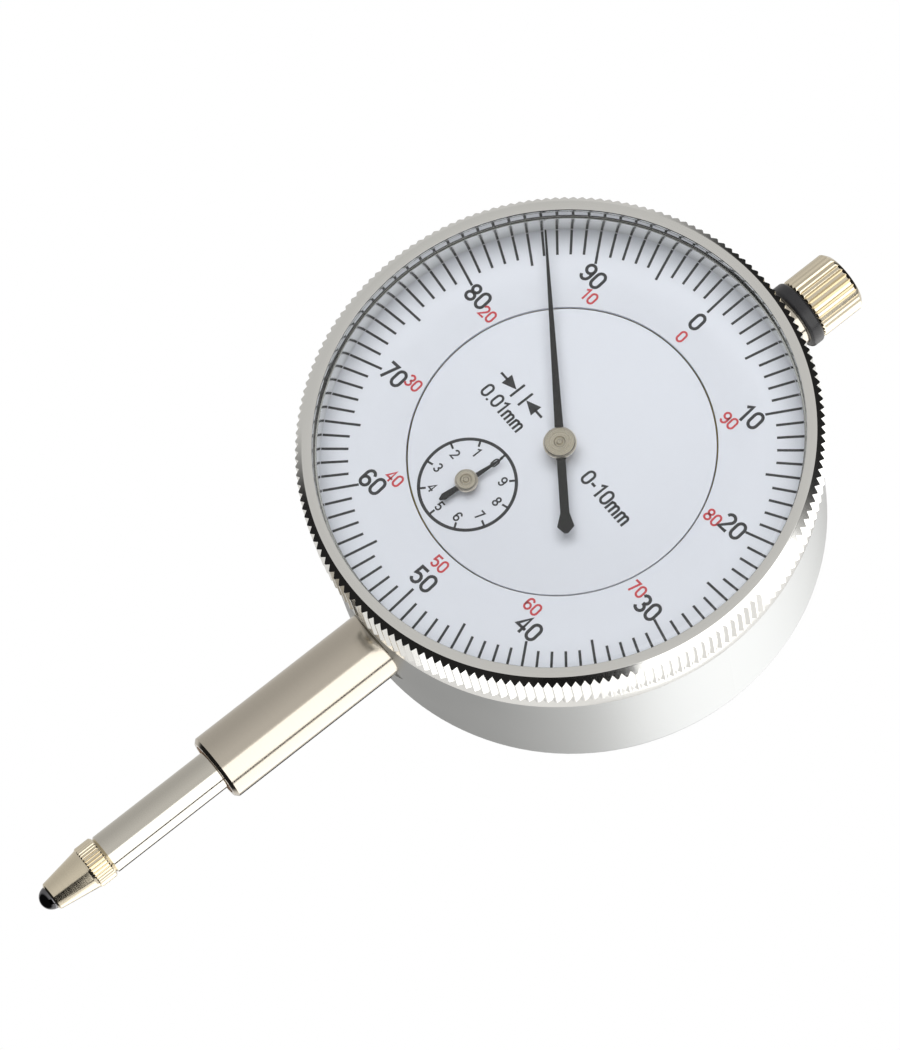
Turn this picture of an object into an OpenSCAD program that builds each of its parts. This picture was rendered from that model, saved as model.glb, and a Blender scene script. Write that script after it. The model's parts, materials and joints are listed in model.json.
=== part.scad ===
// Dial indicator, 0.01 mm, 10 mm of travel.
// Upright: the spindle runs along Z with the contact point down, and the dial faces -Y.
// The origin is the middle of the clamping stem, on the spindle's axis.

/* [Bezel and dial] */
// Outside diameter over the bezel's knurl
bezel_d = 58; // [57.8:0.1:58.6]
// Radius of the bezel's smooth front ring
ring_r = 28.25; // [28:0.05:28.4]
// Radius of the bore in the front ring, which the crystal is pressed into
crystal_r = 27; // [26.9:0.1:27.2]
// Distance of the dial's face in front of the spindle's axis
dial_y = 12; // [11.8:0.1:12.2]
// Radius where the fixed inner dial ends and the turning outer dial begins
dial_split_r = 17.1; // [16.5:0.1:17.5]
// Angle of the outer dial's zero from upright, clockwise
dial_set = -5.6; // [-180:0.1:180]

/* [Case] */
// Radius of the case
case_r = 28.25; // [28:0.05:28.3]
// Wall thickness of the case
case_wall = 2.25; // [2:0.05:2.4]
// Distance of the back of the case behind the spindle's axis
case_back_y = 8.8; // [8.6:0.1:10]
// Thickness of the back cover
cover_t = 1.5; // [1.2:0.1:1.6]
// Thickness of the lug on the back
lug_t = 5; // [4:0.5:6]
// Radius of the hole in the lug
lug_hole_r = 3.25; // [3:0.05:3.5]
// Distance of the lug's hole behind the back of the case
lug_reach = 7.6; // [7:0.1:10]

/* [Stem and spindle] */
// Radius of the clamping stem
stem_r = 4; // [4:0.01:4]
// Length of the stem's plain clamping wall
stem_wall = 22.4; // [20:0.1:24]
// Radius of the spindle
spindle_r = 2.4; // [2.38:0.01:2.4]
// How far the spindle stands out of the stem at rest, down to the contact point
spindle_out = 15.4; // [12:0.1:18]
// Radius of the ball at the tip
ball_r = 1.4; // [1.4:0.05:1.5]
// Radius of the lifting cap
cap_r = 3.8; // [3.6:0.1:4.2]
// Length of the lifting cap
cap_len = 5.9; // [5:0.1:7]

/* [Gear train] */
// Pitch of the rack's teeth
rack_pitch = 0.625; // [0.625:0.001:0.625]
// Teeth of the pinion on the rack
rack_pinion_teeth = 16; // [16:1:16]
// Teeth of the two large gears
gear_teeth = 100; // [100:1:100]
// Teeth of the centre pinion
centre_teeth = 10; // [10:1:10]
// Module of the large gears and the centre pinion
gear_module = 0.2; // [0.2:0.001:0.2]
// Distance of the rack pinion's arbor to the left of the spindle's axis
arbor_x = 3.6; // [3.55:0.01:3.65]
// Reading of the main hand at rest, in divisions of the dial
rest_reading = 86.3; // [0:0.1:100]

/* [Hidden] */

$fn = 72;
// Running clearance on the radius, for every shaft that turns or slides in a hole
running = 0.04;
// Clearance on the radius of a part that is pressed or screwed home
seated = 0.02;

// Heights, measured from the dial's centre
stem_seat = 27.9;
stem_chamfer = 0.4;
dial_z = stem_seat + stem_wall / 2;
stem_end = -(stem_seat + stem_wall + stem_chamfer);
contact_top = stem_end - spindle_out;
collar_len = 2.4;
cone_len = 4.8;
bush_top = 33;
lower_bush_len = 9;
bumper_base = 32;
bumper_top = 33.7;
cap_base = bumper_top + 0.1;

// Levels along Y, from the front to the back
ring_y = -dial_y - 4.15;
knurl_y = [-dial_y - 3.5, -dial_y + 1.5];
bezel_back_y = -dial_y + 3.95;
case_front_y = bezel_back_y + 0.05;
rim_y = -dial_y + 0.8;
front_plate_y = [-10.6, -9.6];
main_plate_y = [-5.2, -4.2];
gear_y = [-6.9, -6.3];
bridge_y = [2.9, 3.9];
cover_y = case_back_y - cover_t;

// Radii shared between the parts
fine_pivot_r = 0.35;
pinion_pivot_r = 0.4;
arbor_r = 0.6;
case_in_r = case_r - case_wall;
rim_r = 27.2;
skirt_r = rim_r + 0.1;
wall_r = 26.6;
boss_r = 5.2;
spot_r = 5;
boss_low = 23.2;
boss_top = stem_seat - 0.6;
spigot_r = 3.5;
bush_r = 3.2;

// The gear train: the counter arbor lies low on the left, the take-up arbor opposite to it
centre_distance = gear_module * (gear_teeth + centre_teeth) / 2;
arbor_z = sqrt(centre_distance * centre_distance - arbor_x * arbor_x);
train_angle = atan2(arbor_z, arbor_x);
rack_pinion_r = rack_pinion_teeth * rack_pitch / (2 * PI);
rack_line = arbor_x - rack_pinion_r;
rack_module = rack_pitch / PI;
rack_low = -22.5;
rack_high = -8;
centre_pitch_angle = 360 / centre_teeth;

// Where the hands point at rest, clockwise from upright
main_angle = rest_reading * 3.6 + dial_set;
counter_angle = (100 - rest_reading) * 0.36;

// Fasteners
plate_screw_angles = [28, 152, 208, 332];
plate_screw_at = 24.5;
pillar_at = [[17, 9], [-17, 9], [-17, -9], [17, -9]];
cover_screw_angles = [45, 135, 225, 315];
cover_screw_at = 23.6;
cover_thread_r = 1;
cover_head_r = 1.9;
cover_head_sunk = 0.8;
bridge_at = [[-10.5, -15.5], [-10.5, -5.5]];
foot_at = [[11, -9], [-11, 9]];
guide_z = -5;
guide_x = [6.7, 8.7];
spring_at = [4.8, -21.3];

// ---- helpers ----

// A flat shape, drawn as it is seen from the front, between two levels along Y
module slab(y) {
    translate([0, y[1], dial_z]) rotate([90, 0, 0]) linear_extrude(y[1] - y[0]) children();
}

// A shape turned about an arbor along Y, from a profile of [radius, y]
module turned(profile, at = [0, 0]) {
    translate([at[0], 0, dial_z + at[1]]) rotate([-90, 0, 0]) rotate_extrude() polygon(profile);
}

// A shape turned about the spindle, from a profile of [radius, height from the dial's centre]
module turned_z(profile) {
    translate([0, 0, dial_z]) rotate_extrude() polygon(profile);
}

// A round bar along Y
module bar(r, y, at = [0, 0]) {
    translate([at[0], y[0], dial_z + at[1]]) rotate([-90, 0, 0]) cylinder(r = r, h = y[1] - y[0]);
}

// A slotted cheese-head screw along Y, with its head on the side that side points to
module screw(at, seat_y, side, shank_r, shank_len, head_r, head_h) {
    slot = head_r * 0.3;
    difference() {
        union() {
            bar(shank_r, side < 0 ? [seat_y, seat_y + shank_len] : [seat_y - shank_len, seat_y], at);
            bar(head_r, side < 0 ? [seat_y - head_h, seat_y] : [seat_y, seat_y + head_h], at);
        }
        translate([at[0], seat_y + side * head_h, dial_z + at[1]])
            cube([3 * head_r, head_h * 0.9, slot], center = true);
    }
}

// Levels along Y that a hole needs to run right through a plate
function through(y) = [y[0] - 1, y[1] + 1];

function polar(r, a) = [r * cos(a), r * sin(a)];

// A direction given clockwise from upright
function clock(r, a) = [r * sin(a), r * cos(a)];

// The outline of a gear with straight-flanked teeth; root and tip are shares of the tooth pitch
function gear_outline(teeth, root_r, tip_r, root, tip, phase) = [
    for (i = [0 : teeth - 1])
        for (p = [[root_r, -root], [tip_r, -tip], [tip_r, tip], [root_r, root]])
            polar(p[0], phase + (i + p[1] / 2) * 360 / teeth)];

module gear_shape(teeth, m, phase) {
    r = teeth * m / 2;
    polygon(gear_outline(teeth, r - 1.3 * m, r + 0.9 * m, 0.5, 0.15, phase));
}

// ---- case ----

module case_body() {
    boss_y = main_plate_y[1];
    color("silver") difference() {
        union() {
            turned([[case_in_r, case_front_y], [case_in_r, rim_y], [rim_r, rim_y], [rim_r, -dial_y + 1.1],
                [rim_r - 0.35, -dial_y + 1.1], [rim_r - 0.35, -dial_y + 1.7], [rim_r, -dial_y + 1.7],
                [rim_r, case_front_y], [case_r, case_front_y], [case_r, cover_y], [case_in_r, cover_y]]);
            // Lands that carry the movement
            for (a = plate_screw_angles)
                intersection() {
                    bar(2.6, [boss_y, boss_y + 2.4], polar(plate_screw_at, a));
                    bar(case_r - 1, [boss_y, boss_y + 2.4]);
                }
            // Columns for the cover's screws
            for (a = cover_screw_angles)
                intersection() {
                    bar(2.6, [cover_y - 5, cover_y], polar(cover_screw_at, a));
                    bar(case_r - 1, [cover_y - 5, cover_y]);
                }
            // Bosses for the stem and the upper bush, cut flat where the main plate lies on them
            intersection() {
                for (z = [-boss_top, boss_low])
                    translate([0, 0, dial_z + z]) cylinder(r = boss_r, h = boss_top - boss_low);
                translate([-boss_r, boss_y, 0]) cube([2 * boss_r, 12, 2 * dial_z]);
            }
            translate([0, 0, dial_z - boss_top]) cylinder(r = boss_r - 0.6, h = boss_top - boss_low);
        }
        // Spot face and bore for the stem
        translate([0, 0, dial_z - stem_seat - 2]) cylinder(r = spot_r, h = 2);
        translate([0, 0, dial_z - stem_seat - 1])
            cylinder(r = spigot_r + seated, h = stem_seat - boss_low + 2);
        // Spot face and bore for the upper bush
        translate([0, 0, dial_z + stem_seat]) cylinder(r = spot_r, h = 2);
        translate([0, 0, dial_z + 22]) cylinder(r = bush_r + seated, h = 8);
        for (a = plate_screw_angles) bar(0.8 + seated, [boss_y - 1, boss_y + 1.9], polar(plate_screw_at, a));
        for (a = cover_screw_angles)
            bar(cover_thread_r + seated, [cover_y - 4.4, cover_y + 1], polar(cover_screw_at, a));
    }
}

module back_cover() {
    lug_r = lug_hole_r + 3.2;
    lug_y = case_back_y + lug_reach;
    color("silver") difference() {
        union() {
            turned([[0, cover_y], [case_r, cover_y], [case_r, case_back_y - 0.7],
                [case_r - 0.12, case_back_y - 0.25], [case_r - 0.4, case_back_y], [0, case_back_y]]);
            translate([-lug_t / 2, case_back_y - 0.5, dial_z - lug_r])
                cube([lug_t, lug_reach + 0.5, 2 * lug_r]);
            translate([-lug_t / 2, lug_y, dial_z]) rotate([0, 90, 0]) cylinder(r = lug_r, h = lug_t);
        }
        translate([-lug_t, lug_y, dial_z]) rotate([0, 90, 0]) cylinder(r = lug_hole_r, h = 2 * lug_t);
        for (a = cover_screw_angles) {
            bar(cover_thread_r + seated, [cover_y - 1, case_back_y + 1], polar(cover_screw_at, a));
            bar(cover_head_r + 0.1, [case_back_y - cover_head_sunk, case_back_y + 1],
                polar(cover_screw_at, a));
        }
    }
}

module cover_screws() {
    color("gainsboro") for (a = cover_screw_angles)
        screw(polar(cover_screw_at, a), case_back_y - cover_head_sunk, 1,
            cover_thread_r, 4.6, cover_head_r, 0.75);
}

module stem() {
    color("silver") turned_z([[bush_r, stem_end], [stem_r - stem_chamfer, stem_end],
        [stem_r, stem_end + stem_chamfer], [stem_r, -stem_seat], [spigot_r, -stem_seat],
        [spigot_r, -boss_low], [2.7, -boss_low], [2.7, stem_end + lower_bush_len],
        [bush_r, stem_end + lower_bush_len]]);
}

module lower_bush() {
    color("goldenrod") turned_z([[spindle_r + running, stem_end + 0.1], [bush_r - seated, stem_end + 0.1],
        [bush_r - seated, stem_end + lower_bush_len - seated],
        [spindle_r + running, stem_end + lower_bush_len - seated]]);
}

module upper_bush() {
    color("gainsboro") turned_z([[spindle_r + running, 22.6], [bush_r, 22.6], [bush_r, stem_seat],
        [stem_r, stem_seat], [stem_r, stem_seat + 1], [bush_r, stem_seat + 1], [bush_r, bush_top],
        [spindle_r + running, bush_top]]);
}

module bumper_ring() {
    color("black") turned_z([[bush_r + seated, bumper_base], [cap_r, bumper_base],
        [cap_r + 0.2, bumper_base + 0.3],
        [cap_r + 0.2, bumper_top - 0.3], [cap_r, bumper_top], [2.7, bumper_top], [2.7, bush_top + 0.05],
        [bush_r + seated, bush_top + 0.05]]);
}

// ---- movement, fixed parts ----

module main_plate() {
    color("gold") difference() {
        bar(case_in_r - 0.1, main_plate_y);
        // Clear of the bosses for the bushes
        for (z = [-27, 27]) translate([-6, main_plate_y[0] - 1, dial_z + z - 3.9]) cube([12, 3, 7.8]);
        // Pivot holes of the centre and take-up arbors, and the way through for the counter arbor
        for (p = [[0, 0], [arbor_x, arbor_z]]) bar(fine_pivot_r + running, through(main_plate_y), p);
        bar(1 + running, through(main_plate_y), [-arbor_x, -arbor_z]);
        for (a = plate_screw_angles) bar(0.8 + seated, through(main_plate_y), polar(plate_screw_at, a));
        for (p = concat(pillar_at, bridge_at)) bar(0.8 + seated, through(main_plate_y), p);
    }
}

module main_plate_screws() {
    color("gainsboro") for (a = plate_screw_angles)
        screw(polar(plate_screw_at, a), main_plate_y[0], -1, 0.8, 2.6, 1.4, 0.7);
}

module pillars() {
    color("gold") for (p = pillar_at) difference() {
        union() {
            bar(1.5, [front_plate_y[1], main_plate_y[0]], p);
            bar(0.8, [main_plate_y[0] - 0.1, main_plate_y[1]], p);
        }
        bar(0.6 + seated, [front_plate_y[1] - 1, front_plate_y[1] + 2], p);
    }
}

module front_plate() {
    color("gold") difference() {
        bar(20.5, front_plate_y);
        for (p = [[0, 0], [-arbor_x, -arbor_z]]) bar(arbor_r + running, through(front_plate_y), p);
        bar(fine_pivot_r + running, through(front_plate_y), [arbor_x, arbor_z]);
        for (p = pillar_at) bar(0.6 + seated, through(front_plate_y), p);
        for (p = foot_at) bar(0.8 + seated, through(front_plate_y), p);
    }
}

module pillar_screws() {
    color("gainsboro") for (p = pillar_at) screw(p, front_plate_y[0], -1, 0.6, 2.4, 1.2, 0.5);
}

module pinion_bridge() {
    tail = [-arbor_x, -arbor_z];
    color("gold") difference() {
        union() {
            slab(bridge_y) polygon([[bridge_at[0][0] - 1.6, bridge_at[0][1]],
                [bridge_at[0][0], bridge_at[0][1] - 1.6], [tail[0], tail[1] - 1.6], [tail[0] + 1.6, tail[1]],
                [tail[0], tail[1] + 1.6], [bridge_at[1][0], bridge_at[1][1] + 1.6],
                [bridge_at[1][0] - 1.6, bridge_at[1][1]]]);
            for (p = concat(bridge_at, [tail])) bar(1.6, bridge_y, p);
        }
        bar(pinion_pivot_r + running, through(bridge_y), tail);
        for (p = bridge_at) bar(0.6 + seated, through(bridge_y), p);
    }
}

module bridge_posts() {
    color("gold") for (p = bridge_at) difference() {
        union() {
            bar(1.5, [main_plate_y[1], bridge_y[0]], p);
            bar(0.8, [main_plate_y[0], main_plate_y[1] + 0.1], p);
        }
        bar(0.6 + seated, [bridge_y[0] - 2, bridge_y[0] + 1], p);
    }
}

module bridge_screws() {
    color("gainsboro") for (p = bridge_at) screw(p, bridge_y[1], 1, 0.6, 2.4, 1.2, 0.6);
}

module inner_dial() {
    face_y = -dial_y + 0.1;
    color("lavender") difference() {
        union() {
            bar(dial_split_r - 0.1, [face_y, face_y + 0.4]);
            for (p = foot_at) bar(0.8, [face_y + 0.3, front_plate_y[1] - 0.1], p);
        }
        for (p = [[0, 0], [-arbor_x, -arbor_z]]) bar(0.9, [face_y - 1, face_y + 1], p);
    }
}

module guide_rail() {
    half = 0.8 + running;
    color("silver") translate([guide_x[0], 0, dial_z]) {
        for (y = [-half - 1, half]) translate([0, y, -7.5]) cube([guide_x[1] - guide_x[0], 1, 15.6]);
        for (z = [-9.3, 8])
            translate([0, main_plate_y[1], z])
                cube([guide_x[1] - guide_x[0], 1 + half - main_plate_y[1], 1.9]);
    }
}

module spring_post() {
    color("gainsboro") {
        bar(0.9, [main_plate_y[1], -1.4], spring_at);
        bar(0.6, [-1.5, 1.4], spring_at);
        bar(0.9, [1.3, 1.8], spring_at);
    }
}

// A plain sleeve that stands for the wound spring between its post and the guide pin
module return_spring() {
    color("dimgray") translate([spring_at[0], 0, dial_z]) rotate_extrude()
        polygon([[0.9, spring_at[1] + 0.8], [1.2, spring_at[1] + 0.8], [1.2, guide_z - 0.9],
            [0.9, guide_z - 0.9]]);
}

module bezel_spring() {
    color("dimgray") translate([0, -dial_y + 1.4, dial_z]) rotate([-90, 0, 0])
        rotate_extrude(angle = 350) translate([rim_r - 0.02, 0]) circle(r = 0.24, $fn = 16);
}

function spiral_point(r0, pitch, turns, i, steps, off) =
    let (a = 360 * turns * i / steps) polar(r0 + pitch * turns * i / steps + off, a + train_angle);

module hairspring() {
    steps = 110;
    turns = 4;
    t = 0.06;
    color("royalblue") translate([arbor_x, -8.3, dial_z + arbor_z]) rotate([90, 0, 0]) linear_extrude(0.6)
        polygon(concat([for (i = [0 : steps]) spiral_point(1.15, 0.85, turns, i, steps, t)],
            [for (i = [steps : -1 : 0]) spiral_point(1.15, 0.85, turns, i, steps, -t)]));
}

module hairspring_stud() {
    r = 1.15 + 0.85 * 4 + 0.06 + 0.6;
    color("gainsboro") bar(0.6, [front_plate_y[1], -8.1], [arbor_x, arbor_z] + polar(r, train_angle));
}

// ---- bezel ----

module bezel() {
    tip_r = bezel_d / 2;
    color("whitesmoke") turned([[skirt_r, bezel_back_y], [tip_r - 0.45, bezel_back_y],
        [tip_r - 0.45, knurl_y[1] + 0.1], [tip_r, knurl_y[1]], [tip_r, knurl_y[0]],
        [ring_r, ring_y - 0.05], [ring_r - 0.15, ring_y - 0.2], [crystal_r + 0.3, ring_y - 0.25],
        [crystal_r, ring_y - 0.1],
        [crystal_r, ring_y + 1.3], [wall_r, ring_y + 1.35], [wall_r, -dial_y - 0.05],
        [skirt_r, -dial_y - 0.05], [skirt_r, -dial_y + 1.1], [skirt_r + 0.3, -dial_y + 1.15],
        [skirt_r + 0.3, -dial_y + 1.65], [skirt_r, -dial_y + 1.7]]);
}

module crystal() {
    front = ring_y - 0.6;
    edge = crystal_r - 0.05;
    shoulder = 0.8;
    color("lightcyan", 0.35) turned(concat([[0, front]],
        [for (a = [90 : -15 : 0])
            [edge - shoulder + shoulder * cos(a), front + shoulder - shoulder * sin(a)]],
        [[edge, ring_y + 1.25], [0, ring_y + 1.25]]));
}

module outer_dial() {
    color("lavender") turned([[dial_split_r + 0.1, -dial_y], [skirt_r - 0.05, -dial_y],
        [skirt_r - 0.05, -dial_y + 0.4], [dial_split_r + 0.1, -dial_y + 0.4]]);
}

module dial_ring() {
    color("silver") turned([[26.2, -dial_y + 0.4], [skirt_r - 0.02, -dial_y + 0.4],
        [skirt_r - 0.02, -dial_y + 0.65], [26.2, -dial_y + 0.65]]);
}

// ---- spindle ----

// The rack's outline in the plane of the gears: the flat with its teeth, which are cut out of the spindle
module rack_cut() {
    root = rack_line - 1.3 * rack_module;
    tip = rack_line + 0.9 * rack_module;
    first = ceil((rack_low + arbor_z) / rack_pitch);
    last = floor((rack_high + arbor_z) / rack_pitch);
    far = spindle_r + 0.5;
    translate([0, 1.4, dial_z]) rotate([90, 0, 0]) linear_extrude(2.8) polygon(concat(
        [[-far, rack_low - 0.4], [-root, rack_low - 0.2]],
        [for (i = [first : last]) for (p = [[root, -0.3], [tip, -0.1], [tip, 0.1], [root, 0.3]])
            [-p[0], i * rack_pitch - arbor_z + p[1] * rack_pitch]],
        [[-root, rack_high + 0.2], [-far, rack_high + 0.4]]));
}

module spindle() {
    color("silver") difference() {
        turned_z([[0, contact_top], [spindle_r - 0.25, contact_top], [spindle_r, contact_top + 0.25],
            [spindle_r, cap_base], [1.25, cap_base], [1.25, cap_base + 3.6], [0, cap_base + 3.6]]);
        rack_cut();
        // Flats on both sides of the rack, so that only its teeth stand out
        for (y = [1.3, -spindle_r - 0.5]) translate([-spindle_r - 0.5, y, dial_z + rack_low])
            cube([spindle_r - 1.1, spindle_r - 0.8, rack_high - rack_low]);
        translate([0, 0, dial_z + contact_top - 1]) cylinder(r = 1.25 + seated, h = 6);
        translate([0, 0, dial_z + guide_z]) rotate([0, 90, 0]) cylinder(r = 0.8 + seated, h = 5);
    }
}

module guide_pin() {
    color("gainsboro") translate([0.05, 0, dial_z + guide_z])
        rotate([0, 90, 0]) cylinder(r = 0.8, h = guide_x[1] - 0.1);
}

module contact_point() {
    low = contact_top - collar_len;
    tip = low - cone_len;
    color("gainsboro") difference() {
        turned_z([[0, contact_top + 4.6], [1.25, contact_top + 4.6], [1.25, contact_top - 0.05],
            [spindle_r + 0.1, contact_top - 0.05], [spindle_r + 0.2, contact_top - 0.25],
            [spindle_r + 0.2, low + 0.2], [spindle_r, low], [spindle_r - 0.15, low - 0.3],
            [ball_r + 0.3, tip], [ball_r + 0.05, tip - 0.2], [0, tip - 0.2]]);
        translate([0, 0, dial_z + tip - 0.1]) sphere(r = ball_r);
    }
}

module contact_ball() {
    color("dimgray") translate([0, 0, dial_z + contact_top - collar_len - cone_len - 0.1]) sphere(r = ball_r);
}

module lifting_cap() {
    top = cap_base + cap_len;
    color("gainsboro") difference() {
        turned_z([[0, cap_base], [cap_r - 0.2, cap_base], [cap_r, cap_base + 0.3], [cap_r, top - 0.9],
            [cap_r - 0.5, top - 0.35], [cap_r - 1.2, top], [0, top]]);
        translate([0, 0, dial_z + cap_base - 1]) cylinder(r = 1.25 + seated, h = 4.8);
    }
}

// ---- arbors ----

module rack_pinion() {
    at = [-arbor_x, -arbor_z];
    color("gold") {
        turned([[0, -13], [0.5, -13], [0.5, -12.6], [arbor_r, -12.3], [arbor_r, -9.3], [1, -9.3], [1, -2.2],
            [1.2, -2.2], [1.2, 2.6], [pinion_pivot_r, 2.6], [pinion_pivot_r, 3.7], [0, 3.7]], at);
        translate([at[0], 0, 0]) slab([-1.6, 1.6]) translate([0, at[1]])
            gear_shape(rack_pinion_teeth, rack_module, 180 / rack_pinion_teeth);
    }
}

module spoked_gear(at, phase, bore) {
    r = gear_module * gear_teeth / 2;
    color("gold") slab(gear_y) translate(at) difference() {
        gear_shape(gear_teeth, gear_module, phase);
        circle(r = bore);
        for (a = [0 : 90 : 270]) rotate(a + 45 + phase) difference() {
            intersection() {
                translate([0.7, 0.7]) square(r);
                circle(r = r - 1.5);
            }
            circle(r = 2.6);
        }
    }
}

module counter_gear() {
    spoked_gear([-arbor_x, -arbor_z], train_angle, 1);
}

// A flat hand with its pointer up and its tail down, turned to its rest angle
module hand_blade(y, at, angle, outline) {
    slab(y) translate(at) rotate(-angle) difference() {
        polygon(concat(outline, [for (i = [len(outline) - 1 : -1 : 0]) [-outline[i][0], outline[i][1]]]));
        circle(r = 0.5);
    }
}

module counter_hand() {
    color("black") hand_blade([-12.75, -12.63], [-arbor_x, -arbor_z], counter_angle,
        [[0.08, 4.8], [0.3, 1], [0.75, 0.5], [0.75, -0.5], [0.3, -1], [0.42, -3], [0.1, -3.6]]);
}

module counter_hub() {
    color("wheat") turned([[0.5, -12.75], [1.15, -12.75], [1.3, -12.85], [1.3, -13.3],
        [1.15, -13.45], [0, -13.45],
        [0, -13], [0.5, -13]], [-arbor_x, -arbor_z]);
}

module centre_pinion() {
    color("gold") {
        turned([[0, -14.1], [0.5, -14.1], [0.5, -12.6], [arbor_r, -12.3], [arbor_r, -9.3],
            [0.74, -9.3], [0.74, -5.4],
            [fine_pivot_r, -5.4], [fine_pivot_r, -4.3], [0, -4.3]]);
        slab([-7.6, -5.6]) gear_shape(centre_teeth, gear_module, train_angle + 180 + centre_pitch_angle / 2);
    }
}

module main_hand() {
    color("black") hand_blade([-13.75, -13.6], [0, 0], main_angle,
        [[0.1, 26], [0.16, 24], [0.48, 2], [0.95, 0.9], [0.95, -0.9], [0.48, -2], [0.5, -8.2], [0.95, -9.8],
        [0.2, -10.6]]);
}

module main_hub() {
    color("wheat") {
        turned([[0.5, -13.75], [1.7, -13.75], [1.85, -13.9], [1.85, -14.15], [1.65, -14.35], [0.45, -14.35],
            [0.25, -14.2], [0, -14.2], [0, -14.1], [0.5, -14.1]]);
        turned([[0.5, -13.6], [0.5, -13.25], [1.2, -13.25], [1.2, -13.6]]);
    }
}

module takeup_arbor() {
    color("gold") turned([[0, -10.3], [fine_pivot_r, -10.3], [fine_pivot_r, -9.4],
        [arbor_r, -9.4], [arbor_r, -5.4],
        [fine_pivot_r, -5.4], [fine_pivot_r, -4.4], [0, -4.4]], [arbor_x, arbor_z]);
}

module takeup_gear() {
    spoked_gear([arbor_x, arbor_z], train_angle + 180, 0.6);
}

module hairspring_collet() {
    color("goldenrod") turned([[0.6, -9.1], [1, -9.1], [1, -8.1], [0.6, -8.1]], [arbor_x, arbor_z]);
}

case_body();
back_cover();
cover_screws();
stem();
lower_bush();
upper_bush();
bumper_ring();
main_plate();
main_plate_screws();
pillars();
front_plate();
pillar_screws();
pinion_bridge();
bridge_posts();
bridge_screws();
inner_dial();
guide_rail();
spring_post();
return_spring();
bezel_spring();
hairspring();
hairspring_stud();
bezel();
crystal();
outer_dial();
dial_ring();
spindle();
guide_pin();
contact_point();
contact_ball();
lifting_cap();
rack_pinion();
counter_gear();
counter_hand();
counter_hub();
centre_pinion();
main_hand();
main_hub();
takeup_arbor();
takeup_gear();
hairspring_collet();
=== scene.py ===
"""Dial indicator: the finished looks, built round the packed model."""

import json
import math
from math import cos, pi, radians, sin

import bmesh
import bpy
from bpy.props import FloatProperty, FloatVectorProperty, IntProperty, PointerProperty
from mathutils import Matrix, Vector

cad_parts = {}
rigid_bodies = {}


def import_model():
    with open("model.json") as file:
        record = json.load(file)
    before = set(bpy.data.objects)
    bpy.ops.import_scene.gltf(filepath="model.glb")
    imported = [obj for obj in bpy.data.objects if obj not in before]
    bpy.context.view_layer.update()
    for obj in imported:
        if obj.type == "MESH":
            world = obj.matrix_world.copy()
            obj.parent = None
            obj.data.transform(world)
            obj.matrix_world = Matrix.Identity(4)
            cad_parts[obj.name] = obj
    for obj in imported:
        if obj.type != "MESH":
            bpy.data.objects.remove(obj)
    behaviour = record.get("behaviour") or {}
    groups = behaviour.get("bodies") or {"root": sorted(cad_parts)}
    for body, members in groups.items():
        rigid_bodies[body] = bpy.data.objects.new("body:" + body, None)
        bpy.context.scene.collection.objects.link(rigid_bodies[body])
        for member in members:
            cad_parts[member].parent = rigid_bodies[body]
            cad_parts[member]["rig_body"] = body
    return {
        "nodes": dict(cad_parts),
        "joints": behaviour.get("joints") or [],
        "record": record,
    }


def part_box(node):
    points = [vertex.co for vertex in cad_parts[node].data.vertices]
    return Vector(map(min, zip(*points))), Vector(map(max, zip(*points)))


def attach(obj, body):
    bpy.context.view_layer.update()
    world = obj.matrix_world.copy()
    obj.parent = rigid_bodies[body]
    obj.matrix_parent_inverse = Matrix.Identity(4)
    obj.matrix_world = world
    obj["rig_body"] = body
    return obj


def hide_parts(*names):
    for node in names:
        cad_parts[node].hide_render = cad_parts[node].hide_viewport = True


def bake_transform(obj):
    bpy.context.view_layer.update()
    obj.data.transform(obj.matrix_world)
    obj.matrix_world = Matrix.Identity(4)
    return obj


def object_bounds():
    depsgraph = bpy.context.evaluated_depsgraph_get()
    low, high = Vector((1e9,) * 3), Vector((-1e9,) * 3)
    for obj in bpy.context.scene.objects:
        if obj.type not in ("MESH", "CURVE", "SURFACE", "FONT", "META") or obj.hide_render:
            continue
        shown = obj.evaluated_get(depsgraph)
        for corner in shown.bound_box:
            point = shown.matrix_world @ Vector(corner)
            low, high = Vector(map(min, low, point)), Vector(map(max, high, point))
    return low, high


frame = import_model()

bl_info = {
    "name": "Dial Indicator",
    "version": (1, 0, 0),
    "blender": (4, 5, 0),
    "location": "3D View > Sidebar > Dial Indicator",
    "description": "Builds a plunger dial indicator's bezel, dial, hands, stem and finishes",
    "category": "Object",
}

MM = 0.001
CAD_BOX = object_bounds()
NODES = frame["nodes"]
JOINTS = {joint["name"]: joint for joint in frame["joints"]}
# The middle of the dial's printed face, and the axis that the counter's hand turns on
DIAL = Vector(JOINTS["bezel_turn"]["pos_m"])
COUNTER = Vector(JOINTS["counter_turn"]["pos_m"])


def reach(node):
    """How far a node turned about the dial's axis reaches from it, and its front and back levels along -Y."""
    low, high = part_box(node)
    return high.x, -low.y, -high.y


KNURL_R, BEZEL_FRONT, BEZEL_BACK = reach("bezel")
CRYSTAL_R, CRYSTAL_FRONT, CRYSTAL_BACK = reach("crystal")
OUTER_R, DIAL_FRONT, OUTER_BACK = reach("outer_dial")
INNER_R, INNER_FRONT, INNER_BACK = reach("inner_dial")


def hex_colour(code):
    """An sRGB hex code as linear red, green and blue."""
    parts = [int(code[i:i + 2], 16) / 255 for i in (0, 2, 4)]
    return tuple(c / 12.92 if c <= 0.04045 else ((c + 0.055) / 1.055) ** 2.4 for c in parts)


# ---- the sizes and colours that a user would change ----


def length(name, description, mm):
    """A size in the scene's unit of length, with its default in millimetres."""
    return FloatProperty(name=name, description=description, default=mm * MM, min=0, precision=5,
                         unit="LENGTH")


def whole(name, description, default, low, high):
    """A count of something, between two limits."""
    return IntProperty(name=name, description=description, default=default, min=low, max=high)


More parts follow.
